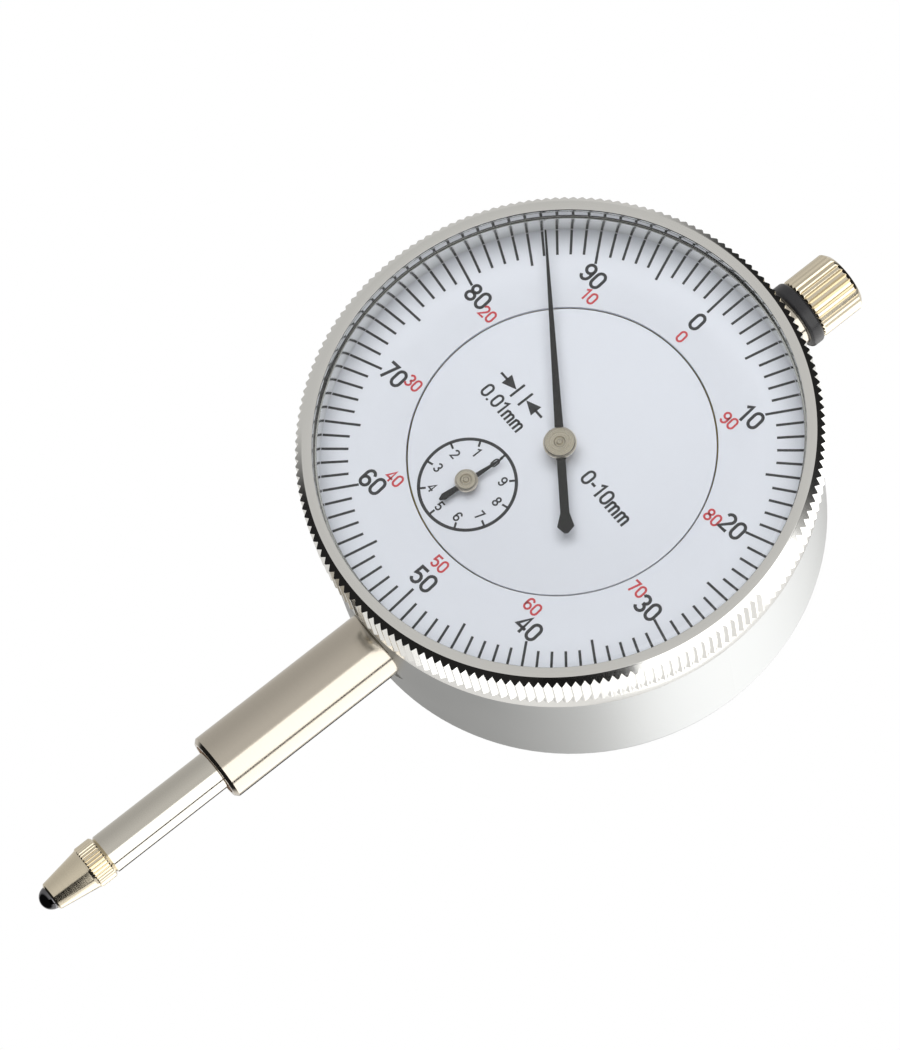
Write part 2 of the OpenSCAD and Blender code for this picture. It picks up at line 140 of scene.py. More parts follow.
def colour(name, description, code):
    """A colour, with its default as an sRGB hex code."""
    return FloatVectorProperty(name=name, description=description, default=hex_colour(code),
                               min=0, max=1, size=3, subtype="COLOR")


class INDICATOR_PG_bezel(bpy.types.PropertyGroup):
    """Sizes of the bezel, its knurl and the crystal."""

    teeth: whole("Knurl teeth", "Ridges round the bezel", 180, 60, 240)
    depth: length("Knurl depth", "Depth of the grooves between the ridges", 0.42)
    ring_step: length("Ring step", "How far the smooth front ring lies inside the knurl", 0.75)
    shoulder: length("Crystal shoulder", "Radius of the crystal's rounded edge", 0.8)


class INDICATOR_PG_dial(bpy.types.PropertyGroup):
    """Sizes of the dial's printing."""

    turn: FloatProperty(name="Dial turn", description="How far the outer dial is turned from upright",
                        default=radians(5.6), subtype="ANGLE")
    divisions: whole("Divisions", "Divisions round the dial", 100, 20, 200)
    tick_outer: length("Tick outer radius", "Radius where the ticks end, at the bezel", 26.65)
    tick_short: length("Short tick radius", "Radius where a short tick starts", 23.6)
    tick_long: length("Long tick radius", "Radius where every fifth tick starts", 22.6)
    tick_width: length("Tick width", "Width of a tick", 0.29)
    figure_r: length("Figure radius", "Radius of the black figures' middles", 21.05)
    figure_height: length("Figure height", "Height of the black figures", 2.3)
    red_r: length("Red figure radius", "Radius of the red figures' middles", 18.6)
    red_height: length("Red figure height", "Height of the red figures", 1.55)
    ink: length("Ink thickness", "How far the printing stands on the enamel", 0.02)
    counter_r: length("Counter radius", "Radius of the counter's ring", 5.4)
    counter_line: length("Counter line", "Width of the counter's ring", 0.36)


class INDICATOR_PG_parts(bpy.types.PropertyGroup):
    """Sizes of the hands, the lifting cap, the contact point and the spring."""

    cap_flutes: whole("Cap flutes", "Flutes round the lifting cap", 32, 12, 60)
    cap_depth: length("Cap flute depth", "Depth of the lifting cap's flutes", 0.26)
    collar_flutes: whole("Collar flutes", "Flutes round the contact point's collar", 40, 12, 60)
    collar_depth: length("Collar flute depth", "Depth of the collar's flutes", 0.14)
    hand_edge: length("Hand edge", "Width of the bevel along the hands' edges", 0.04)
    spring_turns: whole("Spring turns", "Turns of the return spring", 30, 8, 60)
    spring_wire: length("Spring wire", "Diameter of the return spring's wire", 0.3)


class INDICATOR_PG_finishes(bpy.types.PropertyGroup):
    """Colours of the finishes."""

    chrome: colour("Satin chrome", "The bezel", "F5F5F2")
    case: colour("Case", "Satin-lacquered case and cover", "D3D5D5")
    nickel: colour("Nickel", "The stem and the bushes", "DAD2C4")
    warm: colour("Warm nickel", "The lifting cap and the contact point", "F3E8D0")
    steel: colour("Ground steel", "The spindle", "E2DED4")
    ball: colour("Ball", "The contact ball", "77777A")
    hub: colour("Hub", "The hands' hubs", "ECE2CF")
    brass: colour("Brass", "Arbors, gears and posts", "D9B56A")
    plate: colour("Plate brass", "Plates of the movement", "D6BC7A")
    bronze: colour("Bronze", "The lower bush", "B07C48")
    rubber: colour("Bumper", "The bumper ring", "1B1B1D")
    enamel: colour("Dial enamel", "The dial's face", "E9EAF2")
    ink: colour("Black ink", "Ticks and figures", "2A2A2D")
    red: colour("Red ink", "The red figures", "C23F45")
    hand: colour("Hand", "Blackened hands", "08080A")
    crystal: colour("Crystal", "Clear acrylic", "FDFEFE")
    wire: colour("Spring wire", "Springs and the dial's wire ring", "8C8E92")
    blued: colour("Blued steel", "The hairspring", "3A4E80")
    screw: colour("Screw steel", "Screws and pins", "C6C6C4")


# ---- nodes ----


def add(tree, kind, sockets=None, **settings):
    """Adds a node with its settings. sockets gives each input's value, or the output that is linked to it."""
    node = tree.nodes.new(kind)
    for key, value in settings.items():
        setattr(node, key, value)
    for key, value in (sockets or {}).items():
        if isinstance(value, bpy.types.NodeSocket):
            tree.links.new(value, node.inputs[key])
        else:
            node.inputs[key].default_value = value
    return node


def maths(tree, operation, *values):
    """The outcome of a math node, of values or outputs."""
    return add(tree, "ShaderNodeMath", dict(enumerate(values)), operation=operation).outputs[0]


def geometry_tree(name, inputs):
    """A geometry node tree with a geometry in and out, and inputs given as name: (socket type, default)."""
    tree = bpy.data.node_groups.new(name, "GeometryNodeTree")
    tree.interface.new_socket(name="Geometry", in_out="INPUT", socket_type="NodeSocketGeometry")
    tree.interface.new_socket(name="Geometry", in_out="OUTPUT", socket_type="NodeSocketGeometry")
    for key, (kind, default) in inputs.items():
        socket = tree.interface.new_socket(name=key, in_out="INPUT", socket_type=kind)
        if default is not None:
            socket.default_value = default
    return tree, add(tree, "NodeGroupInput").outputs


def finish_tree(tree, instances, source):
    """Ends a tree: its instances become a real mesh with the chosen material."""
    real = add(tree, "GeometryNodeRealizeInstances", {"Geometry": instances})
    painted = add(tree, "GeometryNodeSetMaterial", {
        "Geometry": real.outputs["Geometry"], "Material": source["Material"]})
    add(tree, "NodeGroupOutput", {"Geometry": painted.outputs["Geometry"]})
    return tree


def round_an_axis():
    """Repeats the given shape about its own Z axis."""
    tree, source = geometry_tree("Round an axis", {
        "Count": ("NodeSocketInt", 12), "Step": ("NodeSocketFloat", 0.5),
        "Material": ("NodeSocketMaterial", None)})
    points = add(tree, "GeometryNodePoints", {"Count": source["Count"]})
    index = add(tree, "GeometryNodeInputIndex")
    angle = maths(tree, "MULTIPLY", index.outputs[0], source["Step"])
    turn = add(tree, "ShaderNodeCombineXYZ", {"Z": angle})
    copies = add(tree, "GeometryNodeInstanceOnPoints", {
        "Points": points.outputs[0], "Instance": source["Geometry"], "Rotation": turn.outputs[0]})
    return finish_tree(tree, copies.outputs[0], source)


def graduations():
    """Ticks round a ring in the XY plane, with every so many of them longer, starting from +Y."""
    tree, source = geometry_tree("Graduations", {
        "Count": ("NodeSocketInt", 100), "Long every": ("NodeSocketInt", 5),
        "Outer radius": ("NodeSocketFloat", 0.02), "Short radius": ("NodeSocketFloat", 0.018),
        "Long radius": ("NodeSocketFloat", 0.017),
        "Width": ("NodeSocketFloat", 0.0002), "Thickness": ("NodeSocketFloat", 0.0001),
        "Material": ("NodeSocketMaterial", None)})
    points = add(tree, "GeometryNodePoints", {"Count": source["Count"]})
    index = add(tree, "GeometryNodeInputIndex")
    share = maths(tree, "DIVIDE", index.outputs[0], source["Count"])
    angle = maths(tree, "MULTIPLY", share, 2 * pi)
    left = add(tree, "FunctionNodeIntegerMath", {
        0: index.outputs[0], 1: source["Long every"]}, operation="MODULO")
    is_long = add(tree, "FunctionNodeCompare", {2: left.outputs[0], 3: 0}, data_type="INT", operation="EQUAL")
    start = add(tree, "GeometryNodeSwitch", {
        "Switch": is_long.outputs[0], "False": source["Short radius"], "True": source["Long radius"]},
        input_type="FLOAT")
    middle = maths(tree, "MULTIPLY", maths(tree, "ADD", source["Outer radius"], start.outputs[0]), 0.5)
    span = maths(tree, "SUBTRACT", source["Outer radius"], start.outputs[0])
    size = add(tree, "ShaderNodeCombineXYZ", {0: source["Width"], 1: span, 2: source["Thickness"]})
    along = add(tree, "ShaderNodeCombineXYZ", {"Y": middle})
    out = add(tree, "ShaderNodeVectorRotate", {
        "Vector": along.outputs[0], "Angle": angle}, rotation_type="Z_AXIS")
    placed = add(tree, "GeometryNodeSetPosition", {"Geometry": points.outputs[0], "Position": out.outputs[0]})
    turn = add(tree, "ShaderNodeCombineXYZ", {"Z": angle})
    tick = add(tree, "GeometryNodeMeshCube", {"Size": (1, 1, 1)})
    copies = add(tree, "GeometryNodeInstanceOnPoints", {
        "Points": placed.outputs[0], "Instance": tick.outputs[0], "Rotation": turn.outputs[0],
        "Scale": size.outputs[0]})
    return finish_tree(tree, copies.outputs[0], source)


def wound_wire():
    """A helix of wire up the Z axis, with its turns evenly spaced."""
    tree, source = geometry_tree("Wound wire", {
        "Turns": ("NodeSocketFloat", 20.0), "Coil radius": ("NodeSocketFloat", 0.001),
        "Wire radius": ("NodeSocketFloat", 0.0001), "Height": ("NodeSocketFloat", 0.01),
        "Material": ("NodeSocketMaterial", None)})
    coil = add(tree, "GeometryNodeCurveSpiral", {
        "Resolution": 20, "Rotations": source["Turns"], "Start Radius": source["Coil radius"],
        "End Radius": source["Coil radius"], "Height": source["Height"]})
    section = add(tree, "GeometryNodeCurvePrimitiveCircle", {
        "Resolution": 8, "Radius": source["Wire radius"]})
    wire = add(tree, "GeometryNodeCurveToMesh", {
        "Curve": coil.outputs[0], "Profile Curve": section.outputs[0], "Fill Caps": True})
    return finish_tree(tree, wire.outputs[0], source)


def grown(tree, seed, values):
    """The plain mesh that a tree makes from a seed mesh. values gives the tree's inputs by name."""
    carrier = bpy.data.objects.new("seed", seed)
    modifier = carrier.modifiers.new("Grow", "NODES")
    modifier.node_group = tree
    names = {item.name: item.identifier for item in tree.interface.items_tree if item.in_out == "INPUT"}
    for key, value in values.items():
        modifier[names[key]] = value
    bpy.context.scene.collection.objects.link(carrier)
    graph = bpy.context.evaluated_depsgraph_get()
    mesh = bpy.data.meshes.new_from_object(carrier.evaluated_get(graph), depsgraph=graph)
    carrier.modifiers.remove(modifier)
    bpy.data.objects.remove(carrier)
    return mesh


# ---- shapes ----


def mesh_of(corners, faces):
    """A mesh from corners and faces."""
    mesh = bpy.data.meshes.new("shape")
    mesh.from_pydata([tuple(c) for c in corners], [], faces)
    return mesh


def rounded(profile, steps=4):
    """Turns (radius, height, corner radius) points into (radius, height) points with rounded corners."""
    points = []
    for i, (r, h, blend) in enumerate(profile):
        here = Vector((r, h))
        if not blend:
            points.append(here)
            continue
        back = (Vector(profile[i - 1][:2]) - here).normalized()
        ahead = (Vector(profile[(i + 1) % len(profile)][:2]) - here).normalized()
        half = back.angle(ahead) / 2
        middle = here + (back + ahead).normalized() * blend / sin(half)
        start = here + back * blend / math.tan(half) - middle
        end = here + ahead * blend / math.tan(half) - middle
        for step in range(steps + 1):
            points.append(middle + start.slerp(end, step / steps) * blend)
    return [(p.x, p.y) for p in points]


def turned(profile, angles, closed):
    """A mesh turned about Z, with a column of the profile at each angle; closed for a ring's whole section."""
    count, columns = len(profile), len(angles)
    corners = [(r * cos(a), r * sin(a), h) for a in angles for r, h in profile]
    faces = []
    for c in range(columns):
        here, there = c * count, (c + 1) % columns * count
        for i in range(count if closed else count - 1):
            j = (i + 1) % count
            faces.append((here + i, there + i, there + j, here + j))
    return mesh_of(corners, faces)


def even(steps):
    """Angles spaced evenly round a turn."""
    return [2 * pi * i / steps for i in range(steps)]


def joined(parts):
    """One mesh from several, with each part's faces given its own material number."""
    shape = bmesh.new()
    for mesh, number in parts:
        start = len(shape.faces)
        shape.from_mesh(mesh)
        shape.faces.ensure_lookup_table()
        for face in shape.faces[start:]:
            face.material_index = number
    return shape


def piece(name, shape, place, materials, body, sharp=radians(32)):
    """Finishes a shape as a piece that stands for the CAD node of its name: closed seams, faces outwards, its
    place in its mesh, and a body to ride on."""
    bmesh.ops.remove_doubles(shape, verts=shape.verts, dist=1e-7)
    bmesh.ops.dissolve_degenerate(shape, edges=shape.edges, dist=1e-8)
    bmesh.ops.recalc_face_normals(shape, faces=shape.faces)
    mesh = bpy.data.meshes.new(name)
    shape.to_mesh(mesh)
    shape.free()
    mesh.transform(place)
    mesh.shade_smooth()
    mesh.set_sharp_from_angle(angle=sharp)
    for material in materials:
        mesh.materials.append(material)
    made = bpy.data.objects.new(name, mesh)
    bpy.context.scene.collection.objects.link(made)
    if body:
        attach(made, body)
    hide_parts(name)
    return made


def facing(centre, turn=0.0):
    """Takes a shape drawn flat, with +Z towards the reader, to an axis through centre along the dial's."""
    flat = Matrix.Rotation(turn, 4, "Z")
    return Matrix.Translation((centre.x, 0, centre.z)) @ Matrix.Rotation(pi / 2, 4, "X") @ flat


def upright():
    """Takes a shape that is turned about Z, with heights from the dial's middle, to the spindle's axis."""
    return Matrix.Translation((0, 0, DIAL.z))


def flute_columns(teeth, crest_share):
    """Angles of one ridge's columns: the middle of the groove before it, and the two edges of its crest."""
    pitch = 2 * pi / teeth
    half = pitch * crest_share / 2
    return [-pitch / 2, -half, half]


def flute_angles(teeth, crest_share):
    """Angles of every ridge's columns round a turn, which a smooth part has to share to join the ridges."""
    pitch = 2 * pi / teeth
    return [i * pitch + c for i in range(teeth) for c in flute_columns(teeth, crest_share)]


def fluted(smooth, crest, root_r, teeth, crest_share):
    """A turned shape with straight flutes round it. crest is the stretch of its profile over a ridge, and smooth
    is the rest of it. Each starts where the other ends; a closed section joins at both ends."""
    pitch = 2 * pi / teeth
    columns = flute_columns(teeth, crest_share)
    corners, faces = [], []
    for angle in columns + [pitch / 2]:
        is_root = abs(abs(angle) - pitch / 2) < 1e-9
        for r, h in crest:
            limit = min(r, root_r) if is_root else r
            corners.append((limit * cos(angle), limit * sin(angle), h))
    count = len(crest)
    for c in range(len(columns)):
        for i in range(count - 1):
            a, b = c * count + i, (c + 1) * count + i
            # where a flank runs out on a cone, the fold goes from the foot of the cone to the ridge's end
            folds_down = (crest[i + 1][0] < crest[i][0]) == (c == 0)
            if c == 1 or crest[i][0] == crest[i + 1][0]:
                faces.append((a, b, b + 1, a + 1))
            elif folds_down:
                faces += [(a, b, a + 1), (b, b + 1, a + 1)]
            else:
                faces += [(a, b, b + 1), (a, b + 1, a + 1)]
    ridge = mesh_of(corners, faces)
    ridges = grown(round_an_axis(), ridge, {"Count": teeth, "Step": pitch})
    return joined([(turned(smooth, flute_angles(teeth, crest_share), False), 0), (ridges, 0)])


def bevelled_copy(node, edge, material):
    """A CAD node's own shape as a piece of its own, with a fine bevel along its sharp edges."""
    shape = bmesh.new()
    shape.from_mesh(NODES[node].data)
    bmesh.ops.remove_doubles(shape, verts=shape.verts, dist=1e-7)
    bmesh.ops.dissolve_limit(shape, angle_limit=radians(1), verts=shape.verts, edges=shape.edges)
    made = piece(node, shape, Matrix.Identity(4), [material], NODES[node]["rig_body"])
    bevel = made.modifiers.new("Edge", "BEVEL")
    bevel.width = edge
    bevel.segments = 2
    bevel.limit_method = "ANGLE"
    bevel.angle_limit = radians(30)
    bevel.use_clamp_overlap = True
    return made


# ---- printing ----

# The middle of a stroke runs this far inside a figure's edge, in figure heights
STROKE = 0.155


def arc(x, y, rx, ry, start, end, steps=10):
    """Points along an arc, with angles in degrees."""
    return [(x + rx * cos(radians(start + (end - start) * i / steps)),
             y + ry * sin(radians(start + (end - start) * i / steps))) for i in range(steps + 1)]


def figure_strokes():
    """Each figure as strokes in a box one high: (width, [(points, closed)])."""
    low, high, left, right = STROKE / 2, 1 - STROKE / 2, STROKE / 2, 0.53
    middle, half = (left + right) / 2, (right - left) / 2
    six = [(arc(middle, 0.30, half, 0.235, 0, 350, 18), True),
           ([(left, 0.30)] + arc(middle, 0.64, half, high - 0.64, 180, 25), False)]
    nine = [([(0.6 - x, 1 - y) for x, y in points], closed) for points, closed in six]
    m_arch = [(arc(x, 0.48, 0.15, 0.15, 180, 0) + [(x + 0.15, 0)], False) for x in (0.22, 0.52)]
    return {
        "0": (0.6, [(arc(middle, high - 0.25, half, 0.25, 0, 180)
                     + arc(middle, low + 0.25, half, 0.25, 180, 360), True)]),
        "1": (0.5, [([(0.07, 0.74), (0.31, high), (0.31, 0)], False)]),
        "2": (0.6, [(arc(middle, 0.70, half, high - 0.70, 170, -35)
                     + [(left, low), (right + 0.03, low)], False)]),
        "3": (0.6, [(arc(middle, 0.715, half * 0.92, high - 0.715, 160, -90), False),
                    (arc(middle, 0.285, half, 0.285 - low, 90, -160), False)]),
        "4": (0.6, [([(0.42, 0), (0.42, high), (0.05, 0.30), (0.58, 0.30)], False)]),
        "5": (0.6, [([(right, high), (0.13, high), (0.1, 0.52)]
                     + arc(middle, 0.33, half, 0.33 - low, 110, -155), False)]),
        "6": (0.6, six),
        "7": (0.6, [([(left, high), (right, high), (0.2, 0)], False)]),
        "8": (0.6, [(arc(middle, 0.725, half * 0.88, high - 0.725, 0, 342, 18), True),
                    (arc(middle, 0.285, half, 0.285 - low, 0, 342, 18), True)]),
        "9": (0.6, nine),
        ".": (0.25, [([(0.1, 0), (0.1, 0.13)], False)]),
        "-": (0.4, [([(0.04, 0.42), (0.34, 0.42)], False)]),
        "m": (0.78, [([(0.07, 0), (0.07, 0.64)], False)] + m_arch),
    }


def ribbon(points, width, closed):
    """The two sides of a line of the given width, with its corners mitred."""
    path = [Vector(p) for p in points]
    count, sides = len(path), []
    for i, here in enumerate(path):
        before = path[i - 1] if closed or i else here
        after = path[(i + 1) % count] if closed or i < count - 1 else here
        ins = (here - before).normalized() if (here - before).length > 1e-9 else (after - here).normalized()
        out = (after - here).normalized() if (after - here).length > 1e-9 else ins
        normal = Vector((-(ins + out).y, (ins + out).x)).normalized()
        reach_out = min(1 / max(normal.dot(Vector((-ins.y, ins.x))), 0.1), 1.8) * width / 2
        sides.append((here + normal * reach_out, here - normal * reach_out))
    return sides


def inked(points, width, closed, level, thickness):
    """A printed line as a thin closed solid, in the dial's own plane."""
    sides = ribbon(points, width, closed)
    corners = [(p.x, p.y, level + h) for a, b in sides
               for p, h in ((a, 0), (b, 0), (a, thickness), (b, thickness))]
    faces = []
    count = len(sides)
    for i in range(count if closed else count - 1):
        j = (i + 1) % count
        a0, b0, a1, b1 = (4 * i + k for k in range(4))
        c0, d0, c1, d1 = (4 * j + k for k in range(4))
        faces += [(a1, c1, d1, b1), (a0, b0, d0, c0), (a0, c0, c1, a1), (b0, b1, d1, d0)]
    if not closed:
        end = 4 * (count - 1)
        faces += [(0, 2, 3, 1), (end, end + 1, end + 3, end + 2)]
    return mesh_of(corners, faces)


def lettering(text, x, y, height, level, thickness, centred=True):
    """Meshes for a row of figures, with its middle or its left end at x, and its middle at y."""
    strokes = figure_strokes()
    gap = 0.06
    total = sum(strokes[c][0] + gap for c in text) - gap
    cursor = x - total * height / 2 if centred else x
    made = []
    for character in text:
        width, lines = strokes[character]
        for points, closed in lines:
            placed = [(cursor + px * height, y + (py - 0.5) * height) for px, py in points]
            made.append(inked(placed, STROKE * height, closed, level, thickness))
        cursor += (width + gap) * height
    return made


def at_clock(radius, angle):
    """A place in the dial's plane at an angle clockwise from upright."""
    return radius * sin(angle), radius * cos(angle)


# ---- materials ----


def metal(name, base, roughness, metallic=1.0):
    """A new material with a metal shader, its Object coordinates and its tree."""
    material = bpy.data.materials.new(name)
    material.use_nodes = True
    tree = material.node_tree
    tree.nodes.clear()
    shader = add(tree, "ShaderNodeBsdfPrincipled", {
        "Base Color": (*base, 1), "Metallic": metallic, "Roughness": roughness})
    add(tree, "ShaderNodeOutputMaterial", {"Surface": shader.outputs[0]})
    place = add(tree, "ShaderNodeTexCoord").outputs["Object"]
    return material, tree, shader, place


def per(size_mm):
    """A pattern's scale for features of this size."""
    return 1 / (size_mm * MM)


def noise(tree, place, size_mm, detail):
    """Noise with features of a real size."""
    return add(tree, "ShaderNodeTexNoise", {
        "Vector": place, "Scale": per(size_mm), "Detail": detail}).outputs[0]


def stretched(tree, place, scale):
    """Object coordinates scaled apart along the three axes."""
    return add(tree, "ShaderNodeMapping", {"Vector": place, "Scale": scale}).outputs[0]


def from_axis(tree, place, centre, axis):
    """Coordinates round an axis: distance from it, and height along it, as (distance, height, 0)."""
    moved = add(tree, "ShaderNodeVectorMath", {0: place, 1: tuple(centre)}, operation="SUBTRACT")
    parts = add(tree, "ShaderNodeSeparateXYZ", {0: moved.outputs[0]})
    across = [n for n in "XYZ" if n != axis]
    flat = add(tree, "ShaderNodeCombineXYZ", {n: parts.outputs[n] for n in across})
    distance = add(tree, "ShaderNodeVectorMath", {0: flat.outputs[0]}, operation="LENGTH")
    return add(tree, "ShaderNodeCombineXYZ", {
        "X": distance.outputs["Value"], "Y": parts.outputs[axis]}).outputs[0]


def vary(tree, shader, socket, factor, low, high):
    """Drives one of the shader's inputs between two values."""
    spread = add(tree, "ShaderNodeMapRange", {"Value": factor, "To Min": low, "To Max": high})
    tree.links.new(spread.outputs[0], shader.inputs[socket])


def tint(tree, shader, factor, first, second):
    """Varies the shader's colour between two close tones."""
    mixed = add(tree, "ShaderNodeMix", {
        "Factor": factor, "A": (*first, 1), "B": (*second, 1)}, data_type="RGBA")
    tree.links.new(mixed.outputs["Result"], shader.inputs["Base Color"])


def bump(tree, shader, height, depth_mm, strength=1.0):
    """Gives the shader a bump of the given real depth."""
    raised = add(tree, "ShaderNodeBump", {"Height": height, "Strength": strength, "Distance": depth_mm * MM})
    tree.links.new(raised.outputs["Normal"], shader.inputs["Normal"])


def shade(base, share):
    """A colour made darker or lighter by a share."""
    return tuple(min(1, c * share) for c in base)


def lathe_lines(tree, shader, place, centre, axis, pitch_mm, low, high, depth_mm=0.0):
    """Fine turning marks round an axis, which spread the roughness and may be felt as a bump."""
    round_axis = from_axis(tree, place, centre, axis)
    marks = add(tree, "ShaderNodeTexNoise", {
        "Vector": round_axis, "Scale": per(pitch_mm), "Detail": 3, "Roughness": 0.6}, noise_dimensions="2D")
    vary(tree, shader, "Roughness", marks.outputs[0], low, high)
    if depth_mm:
        bump(tree, shader, marks.outputs[0], depth_mm, 0.5)
    return marks.outputs[0]


def satin_chrome(base):
    """Satin chrome plate on brass, brushed round and round: bright and even, with soft-edged highlights."""
    material, tree, shader, place = metal("Satin_chrome_plate", base, 0.3)
    marks = lathe_lines(tree, shader, place, DIAL, "Y", 0.16, 0.12, 0.22, 0.0004)
    cloud = noise(tree, place, 7, 2)
    tint(tree, shader, maths(tree, "MULTIPLY", marks, cloud), base, shade(base, 0.93))
    return material


def case_lacquer(base):
    """Aluminium die casting, fine-blasted and lacquered silver: soft, nearly white, with a fine grain."""
    material, tree, shader, place = metal("Silver_lacquered_casting", base, 0.42)
    # the blasting grit is 0.06 mm and is drawn at 0.14 mm, so that it shows
    grit = noise(tree, place, 0.14, 2)
    cloud = noise(tree, place, 9, 3)
    vary(tree, shader, "Roughness", cloud, 0.4, 0.47)
    tint(tree, shader, cloud, shade(base, 0.96), base)
    bump(tree, shader, grit, 0.0015, 0.35)
    return material


def lathed(name, base, roughness, centre, axis, pitch_mm, rough, darkest, bump_mm=0.0):
    """A metal whose turning marks spread its roughness and darken it a little."""
    material, tree, shader, place = metal(name, base, roughness)
    marks = lathe_lines(tree, shader, place, centre, axis, pitch_mm, *rough, bump_mm)
    tint(tree, shader, marks, base, shade(base, darkest))
    return material


def worn(name, base, roughness, size_mm, detail, rough, tones, metallic=1.0, stretch=None, bump_mm=0.0,
         strength=1.0):
    """A material whose one pattern drives its roughness between two values and its colour between two shades."""
    material, tree, shader, place = metal(name, base, roughness, metallic)
    if stretch:
        place = stretched(tree, place, stretch)
    pattern = noise(tree, place, size_mm, detail)
    vary(tree, shader, "Roughness", pattern, *rough)
    tint(tree, shader, pattern, *(shade(base, tone) for tone in tones))
    if bump_mm:
        bump(tree, shader, pattern, bump_mm, strength)
    return material


def bright_nickel(name, base):
    """Bright nickel plate over turned brass: warm and glossy, with faint rings left by the lathe."""
    return lathed(name, base, 0.14, (0, 0, 0), "Z", 0.2, (0.1, 0.2), 0.94, 0.0006)


def ground_steel(base):
    """Hardened steel, centreless ground and polished: a near mirror, with very fine rings round it."""
    return lathed("Ground_steel", base, 0.1, (0, 0, 0), "Z", 0.12, (0.06, 0.15), 0.95)


def lapped_ball(base):
    """Hardened ball, lapped: a dark clean mirror with the faintest haze."""
    return worn("Lapped_ball_steel", base, 0.06, 0.5, 3, (0.04, 0.1), (0.9, 1))


def turned_hub(name, base, centre):
    """Nickelled brass, faced on a lathe: champagne, with fine rings round its pin."""
    return lathed(name, base, 0.25, centre, "Y", 0.12, (0.2, 0.36), 0.86, 0.001)


def machined_brass(base):
    """Free-cutting brass straight off the lathe: warm, with streaks from the tool."""
    return worn("Machined_brass", base, 0.24, 0.5, 3, (0.18, 0.34), (1, 0.85), stretch=(1, 8, 1))


def grained_plate(base):
    """Rolled brass sheet, grained with emery along its length: matt, with long fine lines."""
    return worn("Grained_brass_sheet", base, 0.35, 0.15, 3, (0.28, 0.45), (1, 0.88), stretch=(0.05, 1, 1),
                bump_mm=0.002, strength=0.4)


def sintered_bronze(base):
    """Oil-filled sintered bronze: brown, with pores of a tenth of a millimetre."""
    material, tree, shader, place = metal("Sintered_bronze", base, 0.45)
    pores = add(tree, "ShaderNodeTexVoronoi", {"Vector": place, "Scale": per(0.12)})
    vary(tree, shader, "Roughness", pores.outputs[0], 0.35, 0.6)
    tint(tree, shader, pores.outputs[0], base, shade(base, 0.7))
    return material


def moulded_rubber(base):
    """Nitrile rubber, moulded in a polished tool: black, with a soft gloss and slight bloom."""
    return worn("Moulded_nitrile_rubber", base, 0.3, 1.2, 4, (0.22, 0.4), (1, 1.8), metallic=0.0, bump_mm=0.01,
                strength=0.2)


def dial_enamel(base):
    """Aluminium sprayed with matt enamel: cool white, with a breath of orange peel."""
    material, tree, shader, place = metal("Matt_dial_enamel", base, 0.5, 0.0)
    peel = noise(tree, place, 0.35, 2)
    cloud = noise(tree, place, 12, 2)
    vary(tree, shader, "Roughness", peel, 0.45, 0.6)
    tint(tree, shader, cloud, shade(base, 0.975), base)
    bump(tree, shader, peel, 0.002, 0.3)
    return material


def printed_ink(name, base):
    """Pad-printed ink: flat and dense, a little uneven where the pad lifted."""
    return worn(name, base, 0.55, 0.3, 2, (0.5, 0.65), (1, 1.25), metallic=0.0)


def blackened_brass(base):
    """Hand blanks of thin brass, lacquered black: a soft sheen, a little uneven along them."""
    return worn("Black_lacquered_brass", base, 0.34, 0.25, 3, (0.28, 0.42), (1, 1.5), metallic=0.0)


def clear_acrylic(base):
    """Cast acrylic, polished: clear, with a reflection that strengthens towards its edge."""
    material = bpy.data.materials.new("Clear_cast_acrylic")
    material.use_nodes = True
    tree = material.node_tree
    tree.nodes.clear()
    place = add(tree, "ShaderNodeTexCoord").outputs["Object"]
    haze = noise(tree, place, 3, 3)
    roughness = add(tree, "ShaderNodeMapRange", {"Value": haze, "To Min": 0.01, "To Max": 0.05})
    gloss = add(tree, "ShaderNodeBsdfGlossy", {"Roughness": roughness.outputs[0]})
    clear = add(tree, "ShaderNodeBsdfTransparent", {"Color": (*base, 1)})
    edge = add(tree, "ShaderNodeFresnel", {"IOR": 1.49})
    both = add(tree, "ShaderNodeMixShader", {0: edge.outputs[0], 1: clear.outputs[0], 2: gloss.outputs[0]})
    add(tree, "ShaderNodeOutputMaterial", {"Surface": both.outputs[0]})
    return material


def drawn_wire(name, base):
    """Hard-drawn wire: grey, with a dull and bright mottle from the die."""
    return worn(name, base, 0.3, 0.18, 3, (0.22, 0.4), (1, 0.8))


def screw_steel(base):
    """Bright screw stock with the slotting saw's marks: clean, slightly brushed."""
    return worn("Bright_screw_steel", base, 0.22, 0.6, 3, (0.16, 0.34), (1, 0.86), stretch=(1, 1, 12))


